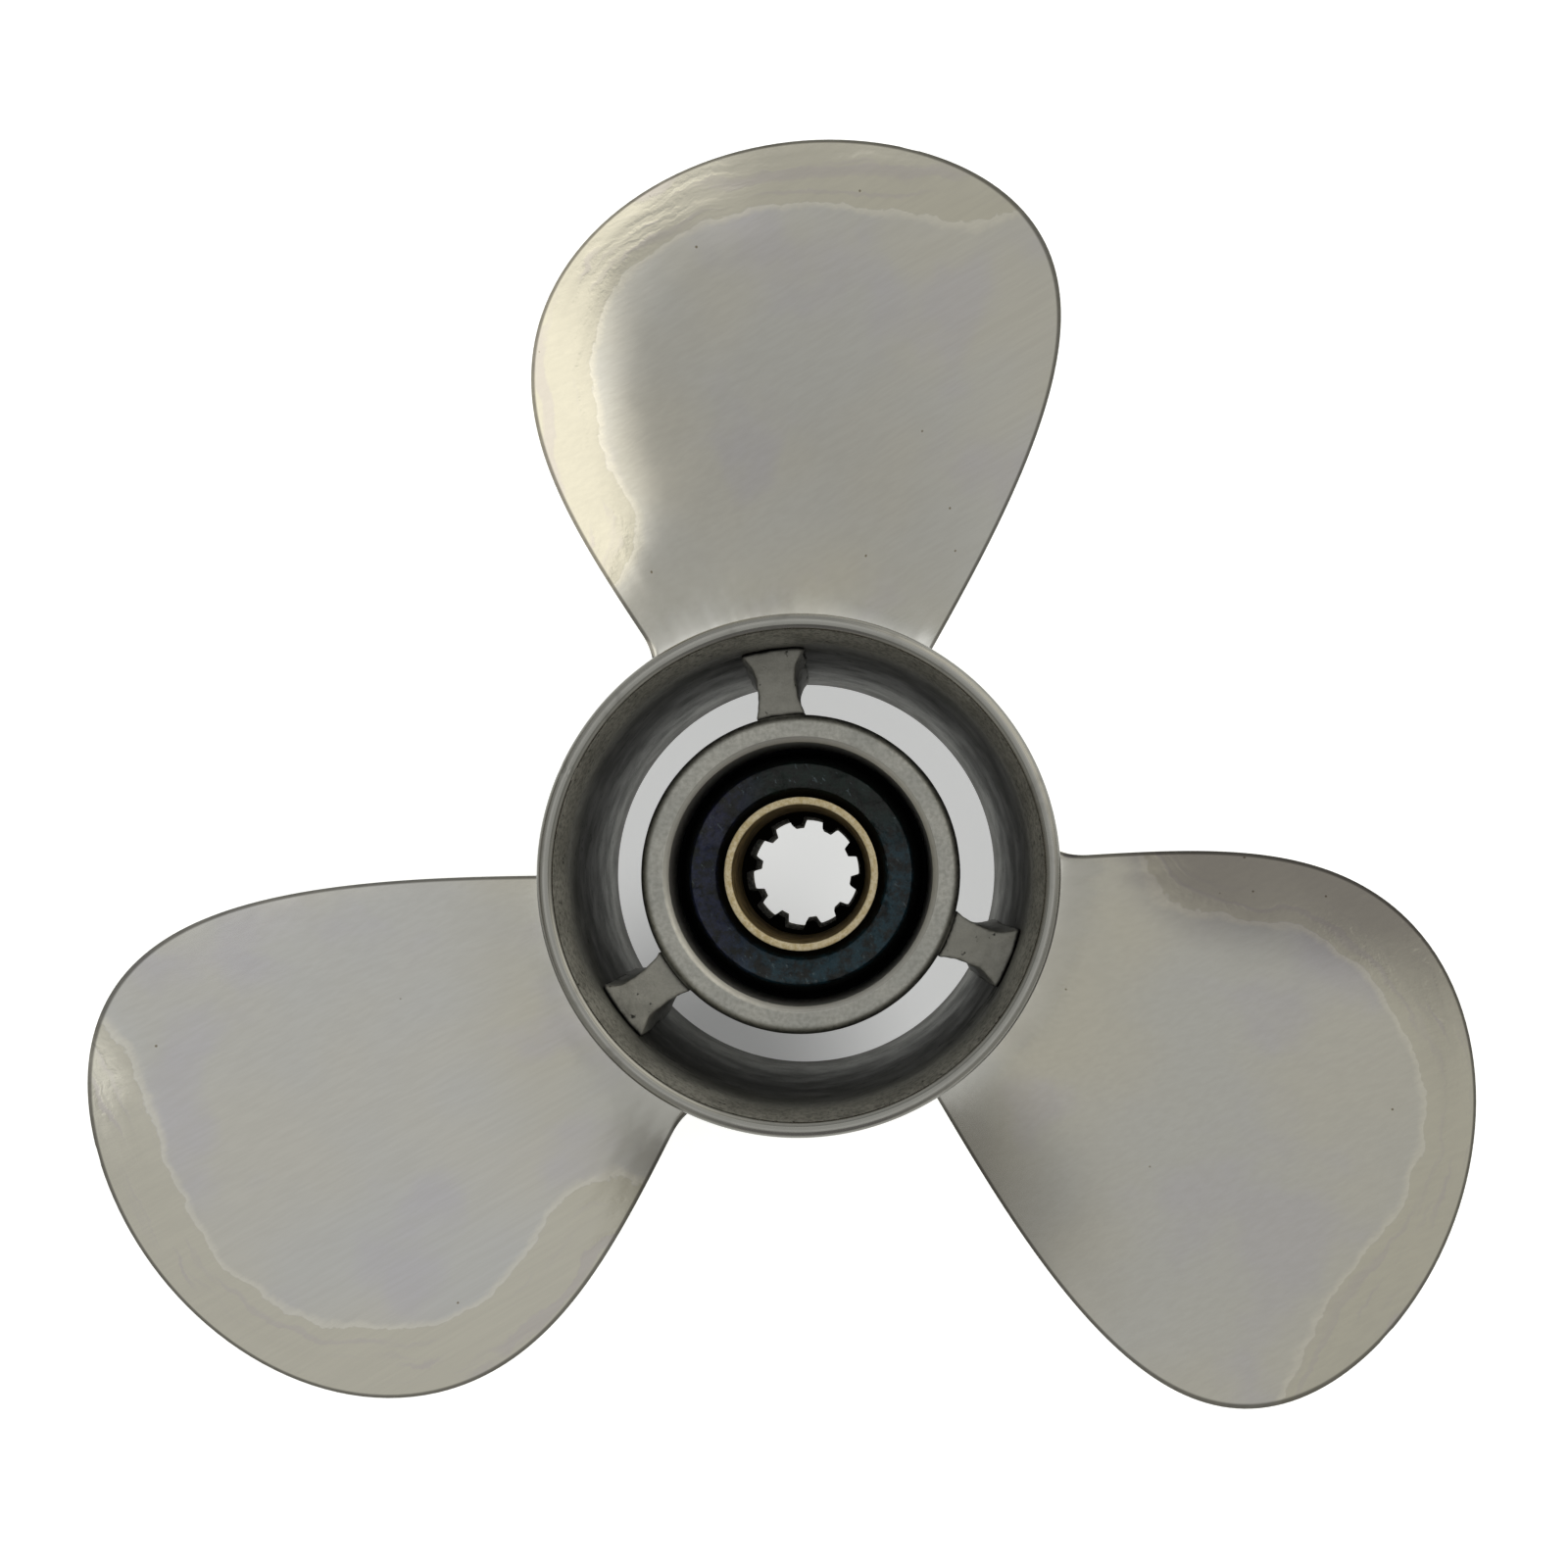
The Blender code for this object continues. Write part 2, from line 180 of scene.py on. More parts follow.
def polished_stainless():
    """CF-8M stainless, belt-ground and then mopped by hand.

    The eye gets a warm grey metal with broad, soft reflections. Faint lines from the mop run one
    way, and the tone drifts from straw to lavender where it has lingered. Along a blade's edge
    the belt has left a hem, with a painted highlight line just inside it and long streaks beside
    it, and the last half millimetre of the edge is dark. A few casting pits stay open.
    """
    made, tree, shader = finish_named("polished_stainless")
    place, _, _ = shaft_place(tree)
    shader.inputs["Metallic"].default_value = 1.0
    drift = ramp(tree, cloud(tree, place, 38.0, 2.0), 0.35, 0.65)
    warm = mix_colour(tree, drift, linear("#c9c7bf"), linear("#c6c6c3"))
    lingered = ramp(tree, cloud(tree, place, 23.0, 3.0), 0.52, 0.7, 0.0, 0.6)
    tinted = mix_colour(tree, lingered, warm, linear("#c2c0c6"))
    # Both attributes are 1 at the edge and fall inwards. The hem's inner line wanders, because
    # the belt is held by hand.
    from_edge = node(tree, "Attribute", attribute_name="from_edge").outputs["Fac"]
    trailing_edge = node(tree, "Attribute", attribute_name="from_trailing_edge").outputs["Fac"]
    wander = ramp(tree, cloud(tree, place, 26.0, 2.0), 0.25, 0.75, -0.08, 0.08)
    ragged = ramp(tree, cloud(tree, place, 5.0, 4.0, 0.65), 0.3, 0.7, -0.025, 0.025)
    wobble = node(tree, "Math", {0: wander, 1: ragged}, operation="ADD").outputs[0]
    inward = node(tree, "Math", {0: trailing_edge, 1: wobble}, operation="ADD").outputs[0]
    hem = ramp(tree, inward, 0.50, 0.515)
    hemmed = mix_colour(tree, hem, tinted, linear("#c8c5b8"))
    # Painted highlight: a pale line just inside the hem's inner line.
    before = ramp(tree, inward, 0.42, 0.50, 0.0, 0.8)
    painted_highlight_line = node(tree, "Math", {0: before, 1: hem}, operation="SUBTRACT", use_clamp=True).outputs[0]
    lined = mix_colour(tree, painted_highlight_line, hemmed, linear("#d9d6cb"))
    flow = node(tree, "CombineXYZ", {0: inward, 1: cloud(tree, place, 90.0, 1.0)}).outputs[0]
    streak = node(tree, "TexNoise", {"Vector": flow, "Scale": 9.0, "Detail": 2.0}).outputs["Fac"]
    in_hem = ramp(tree, inward, 0.42, 0.7)
    strong = ramp(tree, streak, 0.52, 0.66, 0.0, 0.5)
    faint = node(tree, "Math", {0: strong, 1: in_hem}, operation="MULTIPLY").outputs[0]
    streaked = mix_colour(tree, faint, lined, linear("#bcb6b7"))
    # The last half millimetre of the edge is drawn dark.
    last = ramp(tree, from_edge, 0.968, 0.984, 0.0, 0.8)
    edged = mix_colour(tree, last, streaked, linear("#4c4a44"))
    # Mop lines are 0.1 mm apart on the real one; 0.9 mm apart they still show at arm's length.
    slant = {"Vector": place, "Rotation": (0.0, 0.0, math.radians(30)), "Scale": (25.0, 1.0, 1.6)}
    strokes = node(tree, "Mapping", slant, vector_type="TEXTURE").outputs[0]
    lines = cloud(tree, strokes, 0.9, 4.0, 0.65)
    toned = mix_colour(tree, ramp(tree, lines, 0.3, 0.7, 0.0, 0.14), edged, linear("#a9a69f"))
    pits = node(tree, "TexVoronoi", {"Vector": place, "Scale": per(8.0)}).outputs["Distance"]
    pitted = ramp(tree, pits, 0.022, 0.036)
    tree.links.new(mix_colour(tree, pitted, linear("#8a8272"), toned), shader.inputs["Base Color"])
    haze = cloud(tree, place, 14.0, 3.0)
    tree.links.new(ramp(tree, haze, 0.3, 0.7, 0.1, 0.17), shader.inputs["Roughness"])
    relief = node(tree, "Math", {0: lines, 1: pitted}, operation="MULTIPLY").outputs[0]
    brushed = node(tree, "Bump", {"Height": relief, "Strength": 0.16, "Distance": 0.02 * MM})
    raised = node(tree, "Math", {0: streak, 1: in_hem}, operation="MULTIPLY").outputs[0]
    bump = node(tree, "Bump", {"Height": raised, "Strength": 0.5, "Distance": 0.11 * MM})
    tree.links.new(brushed.outputs[0], bump.inputs["Normal"])
    tree.links.new(bump.outputs[0], shader.inputs["Normal"])
    return made


def as_cast_bore():
    """Stainless left as cast and shot-blasted, inside a tube that carries exhaust.

    The eye gets a dull grey metal with soft blotches, pale towards the rim from painted light,
    darker towards the front end from painted shade, and darkest in a smudged band of soot deeper
    in. Soot and painted shade darken the lee of each rib, and black specks show where sand has
    left pits.
    """
    made, tree, shader = finish_named("as_cast_bore_stainless")
    place, height, _ = shaft_place(tree)
    blotch = cloud(tree, place, 9.0, 4.0, 0.6)
    clean = mix_colour(tree, ramp(tree, blotch, 0.3, 0.7), linear("#86867d"), linear("#70716a"))
    # Painted light: the wall turns pale over the last 23 mm towards the rim.
    rim_painted_light = mix_colour(tree, ramp(tree, height, 74 * MM, 97 * MM), clean, linear("#c6c5bd"))
    # Painted shade: the wall darkens towards the bore's front end.
    front_painted_shade = mix_colour(tree, ramp(tree, height, 0.0, 18 * MM, 0.9, 0.0), rim_painted_light, linear("#4c4a43"))
    band_in = ramp(tree, height, 30 * MM, 66 * MM)
    band_out = ramp(tree, height, 72 * MM, 95 * MM, 1.0, 0.12)
    band = node(tree, "Math", {0: band_in, 1: band_out}, operation="MULTIPLY").outputs[0]
    patchy = ramp(tree, cloud(tree, place, 13.0, 4.0, 0.6), 0.28, 0.62, 0.35, 1.0)
    soot = node(tree, "Math", {0: band, 1: patchy}, operation="MULTIPLY").outputs[0]
    sooty = mix_colour(tree, soot, front_painted_shade, linear("#4a4943"))
    smudge = ramp(tree, cloud(tree, place, 5.0, 5.0, 0.7), 0.56, 0.68, 0.0, 0.85)
    smudged = node(tree, "Math", {0: band, 1: smudge}, operation="MULTIPLY").outputs[0]
    dark = mix_colour(tree, smudged, sooty, linear("#191916"))
    # Soot and painted shade darken the corner where the rear end of each rib meets the wall. Where
    # they are thick the metal is turned off, so it stays dark however flat the light comes in.
    eddies = ramp(tree, cloud(tree, place, 4.0, 5.0, 0.7), 0.38, 0.58)
    thick = smudged
    for bearing in SOOT_AND_SHADE_CORNERS:
        a = math.radians(bearing)
        corner = (SOOT_AND_SHADE_R * MM * math.cos(a), SOOT_AND_SHADE_R * MM * math.sin(a), SOOT_AND_SHADE_Z * MM)
        apart = node(tree, "VectorMath", {0: place, 1: corner}, operation="DISTANCE").outputs["Value"]
        close = ramp(tree, apart, 3 * MM, 15 * MM, 0.85, 0.0)
        soot_and_shade = node(tree, "Math", {0: close, 1: eddies}, operation="MULTIPLY").outputs[0]
        dark = mix_colour(tree, soot_and_shade, dark, linear("#131311"))
        thick = node(tree, "Math", {0: thick, 1: soot_and_shade}, operation="MAXIMUM").outputs[0]
    tree.links.new(ramp(tree, thick, 0.1, 0.8, 0.9, 0.1), shader.inputs["Metallic"])
    tree.links.new(ramp(tree, thick, 0.1, 0.8, 0.5, 0.05), shader.inputs["Specular IOR Level"])
    # The grain of the mould's sand, 0.3 mm on the real one and 0.8 mm here.
    grain = ramp(tree, cloud(tree, place, 0.8, 3.0, 0.75), 0.4, 0.64, 0.0, 0.5)
    grained = mix_colour(tree, grain, dark, linear("#4c4c45"))
    specks = ramp(tree, cloud(tree, place, 1.6, 2.0, 0.7), 0.66, 0.74, 0.0, 0.8)
    tree.links.new(mix_colour(tree, specks, grained, linear("#1d1c19")), shader.inputs["Base Color"])
    tree.links.new(ramp(tree, blotch, 0.3, 0.7, 0.46, 0.6), shader.inputs["Roughness"])
    # Shot-blast dimples of 0.3 mm are drawn at 0.7 mm.
    dimples = cloud(tree, place, 0.7, 3.0, 0.6)
    bump = node(tree, "Bump", {"Height": dimples, "Strength": 0.4, "Distance": 0.05 * MM})
    tree.links.new(bump.outputs[0], shader.inputs["Normal"])
    return made


polished = polished_stainless()
bore_cast = as_cast_bore()

rear_edge = (bore_radius(BARREL_END), BARREL_END)
barrel_profile = [
    *along((BARREL_R, BARREL_END), (BARREL_R, FRONT_ROUND), 24),
    *arc((BARREL_R - FRONT_ROUND, FRONT_ROUND), FRONT_ROUND, 0, -90, 8),
    *arc((BORE_FRONT_R + BORE_EDGE, BORE_EDGE), BORE_EDGE, -90, -180, 4),
    *along((bore_radius(1.0), 1.0), rear_edge, 60),
    rear_edge,
]
barrel_mesh = turned("outer_barrel", barrel_profile)


def inner_wall(point):
    """1 on the bore's wall, clear of both its ends."""
    on_wall = math.hypot(point.x, point.y) < MID_WALL_R * MM and 2 * MM < point.z < 87 * MM
    return 1.0 if on_wall else 0.0


roughen(barrel_mesh, 7.0, 0.05, inner_wall)
fit_piece("barrel", barrel_mesh, [polished, bore_cast], "wheel", ["outer_barrel"])
for face in barrel_mesh.polygons:
    middle = face.center
    if math.hypot(middle.x, middle.y) < MID_WALL_R * MM:
        face.material_index = 1

# ---------------------------------------------------------------------------------------------
# Diffuser ring. The flared rear lip of the barrel, from the same casting. It makes the exhaust
# let go cleanly. It is turned and left satin, and its edge is rolled to a bead.

DIFFUSER_R = 41.3
LENGTH = 100.0
BEAD_R = 1.35
NICK_BEARING = 156.0
NICK_HALF_WIDTH = 1.2  # degrees
NICK_DEPTH = 0.3


def satin_turned_rim():
    """Stainless turned on a lathe and rubbed with an abrasive pad.

    The eye gets a mid-grey satin with hair-fine circles round the shaft, so that a highlight
    on the bead runs as a thin line.
    """
    made, tree, shader = finish_named("satin_turned_stainless")
    place, height, radius = shaft_place(tree)
    shader.inputs["Metallic"].default_value = 1.0
    # Tool marks are 0.1 mm apart and drawn at 0.35 mm.
    round_place = node(tree, "CombineXYZ", {0: radius, 2: height}).outputs[0]
    rings = cloud(tree, round_place, 0.35, 2.0)
    blotch = cloud(tree, place, 6.0, 4.0, 0.6)
    tone = mix_colour(tree, ramp(tree, rings, 0.3, 0.7), linear("#72726d"), linear("#95948f"))
    worn = mix_colour(tree, ramp(tree, blotch, 0.55, 0.75, 0.0, 0.5), tone, linear("#5c5b57"))
    tree.links.new(worn, shader.inputs["Base Color"])
    tree.links.new(ramp(tree, blotch, 0.3, 0.7, 0.22, 0.33), shader.inputs["Roughness"])
    bump = node(tree, "Bump", {"Height": rings, "Strength": 0.3, "Distance": 0.03 * MM})
    tree.links.new(bump.outputs[0], shader.inputs["Normal"])
    return made


satin_rim = satin_turned_rim()
bead = (DIFFUSER_R - BEAD_R, LENGTH - BEAD_R)


def flare(foot_r, top, lift):
    """A side of the lip: it leaves the barrel in line and curves out to the bead."""
    steps = 16
    rise = bead[1] - BARREL_END
    for i in range(1, steps):
        share = i / steps
        yield foot_r + lift * share**2.2 + (top - foot_r - lift) * share**6, BARREL_END + rise * share


inner_lip = bead[0] - BEAD_R
foot = bore_radius(BARREL_END)
ring_profile = [
    (BARREL_R, BARREL_END),
    *flare(BARREL_R, DIFFUSER_R, DIFFUSER_R - BARREL_R),
    *arc(bead, BEAD_R, 0, 180, 20),
    *reversed(list(flare(foot, inner_lip, inner_lip - foot))),
    (foot, BARREL_END),
]
ring_mesh = turned("diffuser_ring", ring_profile)
# One nick in the bead, from a knock.
for vert in ring_mesh.vertices:
    off = abs(math.degrees(math.atan2(vert.co.y, vert.co.x)) - NICK_BEARING)
    if off < NICK_HALF_WIDTH and vert.co.z > 98.6 * MM:
        vert.co.z -= NICK_DEPTH * MM * (1 - off / NICK_HALF_WIDTH)
fit_piece(
    "diffuser_lip", ring_mesh, [satin_rim, bore_cast], "wheel", ["diffuser_ring"]
)
for face in ring_mesh.polygons:
    middle = face.center
    if math.hypot(middle.x, middle.y) < (inner_lip + 0.25) * MM and middle.z < 99.3 * MM:
        face.material_index = 1

# ---------------------------------------------------------------------------------------------
# Blades. Three cast stainless blades, one casting with the barrel. Each is a slice of a screw
# thread whose tip falls away a little, and joins the barrel in a fillet. They are belt-ground,
# then mopped by hand, so the surface waves a little and has a hem along the edge.

BLADES = 3
TIP_R = 125.4
PITCH = 304.8
RAKE = math.radians(15.0)
BLADE_Z = 54.0
CHORD_CENTRE = math.radians(92.0)
CHORD_HALF = math.radians(31.6)
OUTLINE_FULLNESS = 3.07
TIP_SKEW = math.radians(10.4)
SKEW_POWER = 3.7
ROOT_THICK = 6.0
TIP_THICK = 2.6
EDGE_SHARE = 0.45
NOSE = 1.3
TIP_FALL = 2.0
TIP_FALL_WIDTH = 22.0
FILLET = 7.0
FILLET_SWELL = 4.0
ROOT_R = 39.4  # the root runs into the barrel's wall
HEM_REACH = 24.0  # where the material stops knowing how far the edge is
WAVE_DEPTH = 0.16  # of the hand-ground surface
RIPPLE_DEPTH = 0.03  # along the edge


def smooth(low, high, value):
    x = min(1.0, max(0.0, (value - low) / (high - low)))
    return x * x * (3 - 2 * x)


def span_share(radius):
    """0 at the barrel, 1 at the tip."""
    return min(1.0, max(0.0, (radius - BARREL_R) / (TIP_R - BARREL_R)))


def chord_centre(radius):
    return CHORD_CENTRE - TIP_SKEW * span_share(radius) ** SKEW_POWER


def root_fillet(radius):
    """0 where the fillet starts, rising on a quarter ellipse to 1 at the barrel."""
    root = 1 - min(1.0, max(0.0, (radius - BARREL_R) / FILLET))
    return 1 - math.sqrt(1 - root**2)


def full_half_angle(radius):
    return CHORD_HALF + FILLET_SWELL * root_fillet(radius) / radius


def near_outline(radius, across, share):
    """Roughly how far a point is from the blade's outline, and 1 if that faces the tip, 0 a side."""
    inside = 1 - across**2 - share**OUTLINE_FULLNESS
    slope_around = 2 * across / (CHORD_HALF * radius)
    slope_out = OUTLINE_FULLNESS * share ** (OUTLINE_FULLNESS - 1) / (TIP_R - BARREL_R)
    slope = max(0.001, math.hypot(slope_around, slope_out))
    return max(0.0, inside) / slope, (slope_out / slope) ** 2


def blade_heights(radius, angle, turn):
    """Heights of the aft and fore faces, and the distance to the blade's outline."""
    share = span_share(radius)
    across = (angle - chord_centre(radius)) / full_half_angle(radius)
    edge, tip_facing = near_outline(radius, across, share)
    aft = BLADE_Z + math.tan(RAKE) * (radius - BARREL_R) + PITCH * (angle - CHORD_CENTRE) / (2 * math.pi)
    here = Vector((radius * math.cos(angle + turn), radius * math.sin(angle + turn), 60.0 * turn))
    wander = 1 + 0.22 * noise.noise(here / 30.0)
    fall = max(0.0, 1 - edge / (TIP_FALL_WIDTH * wander))
    trailing = smooth(-0.55, 0.15, across)
    aft -= TIP_FALL * trailing * tip_facing * (fall + fall**2) / 2
    free = smooth(0.0, 4.0, edge) * smooth(BARREL_R, BARREL_R + FILLET, radius)
    aft += free * WAVE_DEPTH * noise.fractal(here / 34.0, 1.0, 2.0, 2)
    aft += free * trailing * RIPPLE_DEPTH * noise.noise(Vector((edge / 2.6, here.x / 60, here.y / 60)))
    steepness = math.hypot(1.0, PITCH / (2 * math.pi * radius))
    middle = ROOT_THICK + (TIP_THICK - ROOT_THICK) * share
    crown = EDGE_SHARE + (1 - EDGE_SHARE) * max(0.0, 1 - across**2)
    nose = math.sqrt(1 - (1 - min(1.0, edge / NOSE)) ** 2)
    thick = middle * crown * nose * steepness
    swell = FILLET_SWELL * root_fillet(radius) * nose
    return aft + swell, aft - thick - swell


def blade_radii():
    """Rows of the blade's grid: close together in the root's fillet and where the tip rounds in."""
    fillet = [BARREL_R + FILLET * (1 - math.sin(math.radians(90 - 90 * i / 14))) for i in range(15)]
    first, bend = FILLET / (TIP_R - BARREL_R), 0.7
    plate = [first + (bend - first) * i / 48 for i in range(1, 48)]
    start = math.asin(bend ** (OUTLINE_FULLNESS / 2))
    tip = [math.sin(start + (math.radians(88.6) - start) * i / 34) for i in range(35)]
    shares = plate + [x ** (2 / OUTLINE_FULLNESS) for x in tip]
    return [ROOT_R, *fillet, *[BARREL_R + share * (TIP_R - BARREL_R) for share in shares]]


def blade_mesh(copy):
    """Aft and fore faces on one grid of radii and chord shares, joined along their shared rim."""
    turn = 2 * math.pi * copy / BLADES
    radii = blade_radii()
    columns = 104
    bm = bmesh.new()
    aft, fore = [], []
    for row, radius in enumerate(radii):
        aft.append([])
        fore.append([])
        share = span_share(radius)
        half = full_half_angle(radius) * math.sqrt(1 - share**OUTLINE_FULLNESS)
        for column in range(columns + 1):
            chord = math.sin(math.pi * (column / columns - 0.5))
            angle = chord_centre(radius) + chord * half
            high, low = blade_heights(radius, angle, turn)
            x, y = radius * math.cos(angle + turn), radius * math.sin(angle + turn)
            on_rim = row == len(radii) - 1 or column in (0, columns)
            if on_rim:
                high = low = (high + low) / 2
            aft[-1].append(bm.verts.new((x * MM, y * MM, high * MM)))
            fore[-1].append(aft[-1][-1] if on_rim else bm.verts.new((x * MM, y * MM, low * MM)))
    for i in range(len(radii) - 1):
        for j in range(columns):
            bm.faces.new((aft[i][j], aft[i + 1][j], aft[i + 1][j + 1], aft[i][j + 1]))
            bm.faces.new((fore[i][j + 1], fore[i + 1][j + 1], fore[i + 1][j], fore[i][j]))
    for j in range(columns):
        bm.faces.new(list(dict.fromkeys([aft[0][j], aft[0][j + 1], fore[0][j + 1], fore[0][j]])))
    mesh = mesh_of(bm, f"blade_{copy + 1}")
    all_round = mesh.attributes.new("from_edge", "FLOAT", "POINT").data
    behind = mesh.attributes.new("from_trailing_edge", "FLOAT", "POINT").data
    for index, vert in enumerate(mesh.vertices):
        radius = math.hypot(vert.co.x, vert.co.y) / MM
        angle = (math.atan2(vert.co.y, vert.co.x) - turn) % (2 * math.pi)
        across = (angle - chord_centre(radius)) / full_half_angle(radius)
        edge = near_outline(radius, across, span_share(radius))[0]
        near = max(0.0, 1 - edge / HEM_REACH) if radius > BARREL_R + 1 else 0.0
        all_round[index].value = near
        behind[index].value = near * smooth(-0.8, 0.1, across) * smooth(0.0, 0.35, span_share(radius))
    return mesh


for copy in range(BLADES):
    name = f"blade_{copy + 1}"
    fit_piece(f"screw_{name}", blade_mesh(copy), [polished], "wheel", [name])

# ---------------------------------------------------------------------------------------------
# Ribs. Three webs that hold the inner hub in the middle of the exhaust passage. They are part
# of the casting and nobody can reach them to polish, so they keep the rough skin of the mould.

HUB_R = 26.0
GAP = 0.3
RIB_ANGLE = math.radians(97.5)
RIB_Z = (14.0, 82.0)
RIB_HALF = 3.2
RIB_HALF_AT_HUB = 4.1
RIB_HALF_AT_WALL = 5.4


def rough_cast_stainless():
    """Stainless with the mould's own skin, grey from scale and dull.

    The eye gets an even mid grey without a highlight, with fine grit and a few black pits.
    """
    made, tree, shader = finish_named("rough_cast_stainless")
    place, _, radius = shaft_place(tree)
    shader.inputs["Metallic"].default_value = 0.6
    # The mould's sand is 0.3 mm; its grit is drawn at 0.8 mm.
    grit = cloud(tree, place, 0.8, 3.0, 0.7)
    blotch = cloud(tree, place, 6.0, 3.0)
    tone = mix_colour(tree, ramp(tree, blotch, 0.3, 0.7), linear("#989790"), linear("#8f8e86"))
    gritty = mix_colour(tree, ramp(tree, grit, 0.3, 0.7), linear("#7f7e77"), tone)
    pits = ramp(tree, cloud(tree, place, 1.7, 2.0, 0.6), 0.66, 0.73)
    pitted = mix_colour(tree, pits, gritty, linear("#2a2a26"))
    # Soot and painted shade darken the corner between rib and wall.
    soot_and_shade_reach = {0: blotch, 1: 0.9 * MM, 2: radius}
    ragged = node(tree, "Math", soot_and_shade_reach, operation="MULTIPLY_ADD").outputs[0]
    corner = ramp(tree, ragged, 36.75 * MM, 37.3 * MM)
    tree.links.new(mix_colour(tree, corner, pitted, linear("#11110f")), shader.inputs["Base Color"])
    tree.links.new(ramp(tree, grit, 0.3, 0.7, 0.55, 0.72), shader.inputs["Roughness"])
    bump = node(tree, "Bump", {"Height": grit, "Strength": 0.6, "Distance": 0.12 * MM})
    tree.links.new(bump.outputs[0], shader.inputs["Normal"])
    return made


def rib_half_width(share):
    """Half the rib's thickness on the way from hub to wall: a fishtail at each end."""
    at_hub = max(0.0, 1 - share / 0.35) ** 2
    at_wall = max(0.0, (share - 0.55) / 0.45) ** 2
    return RIB_HALF + (RIB_HALF_AT_HUB - RIB_HALF) * at_hub + (RIB_HALF_AT_WALL - RIB_HALF) * at_wall


def rib_outline(z, turn):
    """The rib's section at height z, with ends that follow hub and wall."""
    inner = HUB_R + GAP / 2
    outer = bore_radius(z) - GAP / 2
    steps = 24
    side = []
    for i in range(steps + 1):
        share = i / steps
        radius = inner + (outer - inner) * share
        side.append((radius, math.asin(rib_half_width(share) / radius)))
    across = [i / 8 for i in range(-7, 8)]
    lower = [(radius, -half) for radius, half in side]
    wall = [(outer, share * side[-1][1]) for share in across]
    hub = [(inner, -share * side[0][1]) for share in across]
    ring = [*lower, *wall, *reversed(side), *hub]
    return [(r * math.cos(a + turn) * MM, r * math.sin(a + turn) * MM, z * MM) for r, a in ring]


def rib_mesh(copy):
    """A prism with softened ends, given an even fine skin so that the casting can be rough."""
    turn = RIB_ANGLE + 2 * math.pi * copy / BLADES
    bm = bmesh.new()
    loops = [[bm.verts.new(point) for point in rib_outline(z, turn)] for z in RIB_Z]
    bm.faces.new(list(reversed(loops[0])))
    bm.faces.new(loops[1])
    count = len(loops[0])
    for i in range(count):
        bm.faces.new((loops[0][i - 1], loops[0][i], loops[1][i], loops[1][i - 1]))
    prism = bpy.data.objects.new("rib_prism", mesh_of(bm, "rib_prism"))
    bpy.context.scene.collection.objects.link(prism)
    softened = prism.modifiers.new("softened", "BEVEL")
    softened.width = 0.7 * MM
    softened.segments = 3
    softened.angle_limit = math.radians(50)
    skin = prism.modifiers.new("skin", "REMESH")
    skin.mode = "VOXEL"
    skin.voxel_size = 0.42 * MM
    graph = bpy.context.evaluated_depsgraph_get()
    mesh = bpy.data.meshes.new_from_object(prism.evaluated_get(graph))
    mesh.name = f"rib_{copy + 1}"
    bpy.data.objects.remove(prism)
    mesh.shade_smooth()
    roughen(mesh, 2.2, 0.16)
    mesh.materials.clear()
    return mesh


rough_cast = rough_cast_stainless()
for copy in range(BLADES):
    name = f"rib_{copy + 1}"
    fit_piece(f"cast_{name}", rib_mesh(copy), [rough_cast], "wheel", [name])

# ---------------------------------------------------------------------------------------------
# Inner hub. A thick stainless tube on the three ribs, cast with the rest. Its bore and its rear
# face are machined, so that the rubber bush can be pressed in from the rear.

HUB_BORE_R = 21.5
HUB_Z = (8.0, 84.0)
HUB_CHAMFER = 0.9
HUB_ROUND = 1.5


def blasted_machined_stainless():
    """Stainless faced on a lathe, then bead-blasted.

    The eye gets a pale, even grey face with a silky sheen. The rounded outer edge is as cast
    and darker, with fine black specks that thin out towards the chamfer.
    """
    made, tree, shader = finish_named("bead_blasted_stainless")
    place, height, radius = shaft_place(tree)
    shader.inputs["Metallic"].default_value = 1.0
    # Bead-blast dimples of 0.2 mm are drawn at 0.7 mm.
    grain = cloud(tree, place, 0.7, 3.0, 0.6)
    blotch = cloud(tree, place, 7.0, 3.0)
    tone = mix_colour(tree, ramp(tree, blotch, 0.3, 0.7), linear("#97968f"), linear("#8b8b85"))
    grained = mix_colour(tree, ramp(tree, grain, 0.3, 0.7, 0.0, 0.35), tone, linear("#74746e"))
    outer = ramp(tree, radius, 23.2 * MM, 25.9 * MM)
    dots = cloud(tree, place, 1.1, 3.0, 0.7)
    speckle = node(tree, "Math", {0: dots, 1: outer}, operation="MULTIPLY").outputs[0]
    specked = mix_colour(tree, ramp(tree, speckle, 0.42, 0.6, 0.0, 0.35), grained, linear("#3a3936"))
    down_side = ramp(tree, height, 82.2 * MM, 83.4 * MM, 1.0, 0.0)
    cast_side = mix_colour(tree, down_side, specked, linear("#8b8a84"))
    # Painted highlight: the bore's chamfer is lighter than the face.
    painted_chamfer_highlight = ramp(tree, radius, 22.1 * MM, 22.6 * MM, 0.7, 0.0)
    cast_side = mix_colour(tree, painted_chamfer_highlight, cast_side, linear("#cfcec8"))
    tree.links.new(cast_side, shader.inputs["Base Color"])
    tree.links.new(ramp(tree, grain, 0.3, 0.7, 0.36, 0.5), shader.inputs["Roughness"])
    bump = node(tree, "Bump", {"Height": grain, "Strength": 0.3, "Distance": 0.05 * MM})
    tree.links.new(bump.outputs[0], shader.inputs["Normal"])
    return made


